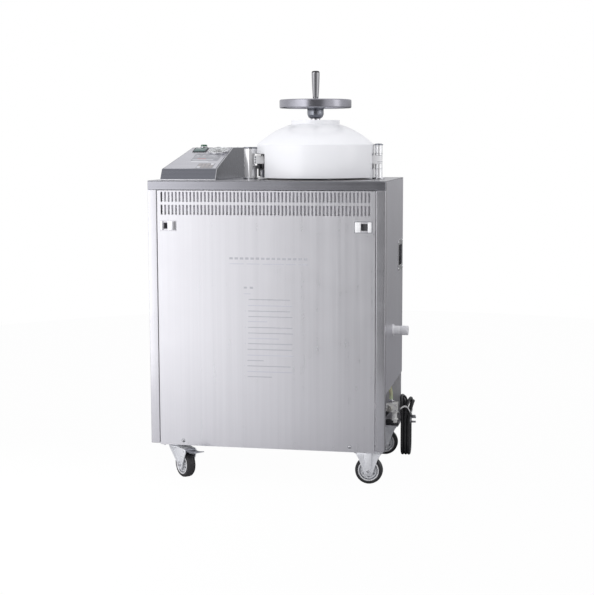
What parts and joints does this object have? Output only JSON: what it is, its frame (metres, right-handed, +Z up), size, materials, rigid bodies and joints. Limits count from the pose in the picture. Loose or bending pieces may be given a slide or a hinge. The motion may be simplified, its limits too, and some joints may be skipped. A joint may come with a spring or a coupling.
{
  "type": "vertical autoclave",
  "caption": "Top-loading vertical steam steriliser: stainless cabinet on casters, swing-aside screw lid with handwheel under a white cover, sloped console.",
  "frame": {"origin": "middle of the whole outline on the floor, the power cord left out", "axes": "+Z up, +X to the machine's right seen from the front, +Y to the back"},
  "size_m": [0.7226, 0.5134, 1.111],
  "materials": {
    "stainless_panel": "fine brushed sheet",
    "stainless_polished": "polished",
    "stainless_inner": "plain mill finish",
    "white_cover": "moulded, satin gloss",
    "black_plastic": "glossy moulded",
    "wheel_metal": "turned and satin polished",
    "gasket_rubber": "silicone rubber",
    "tyre_rubber": "satin rubber",
    "hub_plastic": "moulded",
    "zinc_steel": "bright zinc plated pressing",
    "display_glass": "dark green window",
    "key_film": "printed membrane",
    "gauge_metal": "polished case",
    "lamp_green": "translucent moulding",
    "fitting_plastic": "white moulded",
    "valve_metal": "nickel plated",
    "hose_silicone": "translucent tube",
    "cord_rubber": "rubber sheath",
    "tie_plastic": "white tie"
  },
  "bodies": {
    "cabinet": {"base_tray": "stainless_panel", "front_left_post": "stainless_panel", "front_right_post": "stainless_panel", "front_top_rail": "stainless_polished", "top_plate": "stainless_polished", "left_panel": "stainless_panel", "right_panel": "stainless_panel", "rear_panel": "stainless_panel", "service_bay_liner": "stainless_inner", "front_panel": "stainless_panel", "panel_latches": "stainless_polished", "chamber_vessel": "stainless_inner", "chamber_gasket": "gasket_rubber", "locking_column": "stainless_polished", "pivot_post": "stainless_polished", "console_body": "stainless_panel", "display_window": "display_glass", "key_pad": "key_film", "gauge_case": "gauge_metal", "signal_lamp": "lamp_green", "side_fitting": "fitting_plastic", "side_grips": "stainless_polished", "drain_valve": "valve_metal", "water_hose": "hose_silicone", "inlet_box": "black_plastic", "cord_gland": "black_plastic", "cord_tube": "cord_rubber", "cord_hank": "cord_rubber", "cord_tie": "tie_plastic", "mains_plug": "black_plastic", "fixed_caster_forks": "zinc_steel", "swivel_caster_plates": "zinc_steel"},
    "lid_arm": {"lid_arm": "stainless_polished"},
    "lid": {"pressure_lid": "stainless_polished", "lid_cover": "white_cover"},
    "handwheel": {"screw_spindle": "wheel_metal", "handwheel": "wheel_metal"},
    "crank_grip": {"crank_grip": "black_plastic"},
    "drain_lever": {"drain_lever": "black_plastic"},
    "right_front_wheel": {"right_front_wheel_hub": "hub_plastic", "right_front_tyre": "tyre_rubber"},
    "right_rear_wheel": {"right_rear_wheel_hub": "hub_plastic", "right_rear_tyre": "tyre_rubber"},
    "left_front_caster": {"left_front_swivel_fork": "zinc_steel"},
    "left_front_wheel": {"left_front_wheel_hub": "hub_plastic", "left_front_tyre": "tyre_rubber"},
    "left_front_brake": {"left_front_brake_pedal": "zinc_steel"},
    "left_rear_caster": {"left_rear_swivel_fork": "zinc_steel"},
    "left_rear_wheel": {"left_rear_wheel_hub": "hub_plastic", "left_rear_tyre": "tyre_rubber"},
    "left_rear_brake": {"left_rear_brake_pedal": "zinc_steel"}
  },
  "joints": [
    {"name": "lid_swing", "type": "hinge", "parent": "cabinet", "child": "lid_arm", "pos_m": [0.27076, 0.00241, 0.872], "axis": [0, 0, -1], "range_deg": [0, 100]},
    {"name": "lid_lift", "type": "slide", "parent": "lid_arm", "child": "lid", "axis": [0, 0, 1], "range_m": [0, 0.0101]},
    {"name": "handwheel_turn", "type": "hinge", "parent": "lid", "child": "handwheel", "pos_m": [0.09376, 0.00241, 1.025], "axis": [0, 0, 1], "range_deg": [0, 720]},
    {"name": "crank_grip_spin", "type": "hinge", "parent": "handwheel", "child": "crank_grip", "pos_m": [0.1101, -0.08406, 1.07], "axis": [0, 0, 1], "continuous": true},
    {"name": "drain_lever_turn", "type": "hinge", "parent": "cabinet", "child": "drain_lever", "pos_m": [0.29176, 0.10241, 0.15], "axis": [0, 1, 0], "range_deg": [0, 90]},
    {"name": "right_front_wheel_spin", "type": "hinge", "parent": "cabinet", "child": "right_front_wheel", "pos_m": [0.27176, -0.16959, 0.0375], "axis": [0, 1, 0], "continuous": true},
    {"name": "right_rear_wheel_spin", "type": "hinge", "parent": "cabinet", "child": "right_rear_wheel", "pos_m": [0.27176, 0.17441, 0.0375], "axis": [0, 1, 0], "continuous": true},
    {"name": "left_front_swivel", "type": "hinge", "parent": "cabinet", "child": "left_front_caster", "pos_m": [-0.26324, -0.16559, 0.084], "axis": [0, 0, 1], "continuous": true},
    {"name": "left_front_wheel_spin", "type": "hinge", "parent": "left_front_caster", "child": "left_front_wheel", "pos_m": [-0.23832, -0.19017, 0.0375], "axis": [0.7022, 0.712, 0], "continuous": true},
    {"name": "left_front_brake_press", "type": "hinge", "parent": "left_front_caster", "child": "left_front_brake", "pos_m": [-0.22194, -0.20631, 0.078], "axis": [0.7022, 0.712, 0], "range_deg": [0, 12]},
    {"name": "left_rear_swivel", "type": "hinge", "parent": "cabinet", "child": "left_rear_caster", "pos_m": [-0.26324, 0.17041, 0.084], "axis": [0, 0, 1], "continuous": true},
    {"name": "left_rear_wheel_spin", "type": "hinge", "parent": "left_rear_caster", "child": "left_rear_wheel", "pos_m": [-0.28965, 0.19337, 0.0375], "axis": [-0.6561, -0.7547, 0], "continuous": true},
    {"name": "left_rear_brake_press", "type": "hinge", "parent": "left_rear_caster", "child": "left_rear_brake", "pos_m": [-0.30701, 0.20846, 0.078], "axis": [-0.6561, -0.7547, 0], "range_deg": [0, 12]}
  ],
  "couplings": [
    {"joint": "lid_lift", "follows": "handwheel_turn", "m_per_rad": 0.00079577}
  ]
}
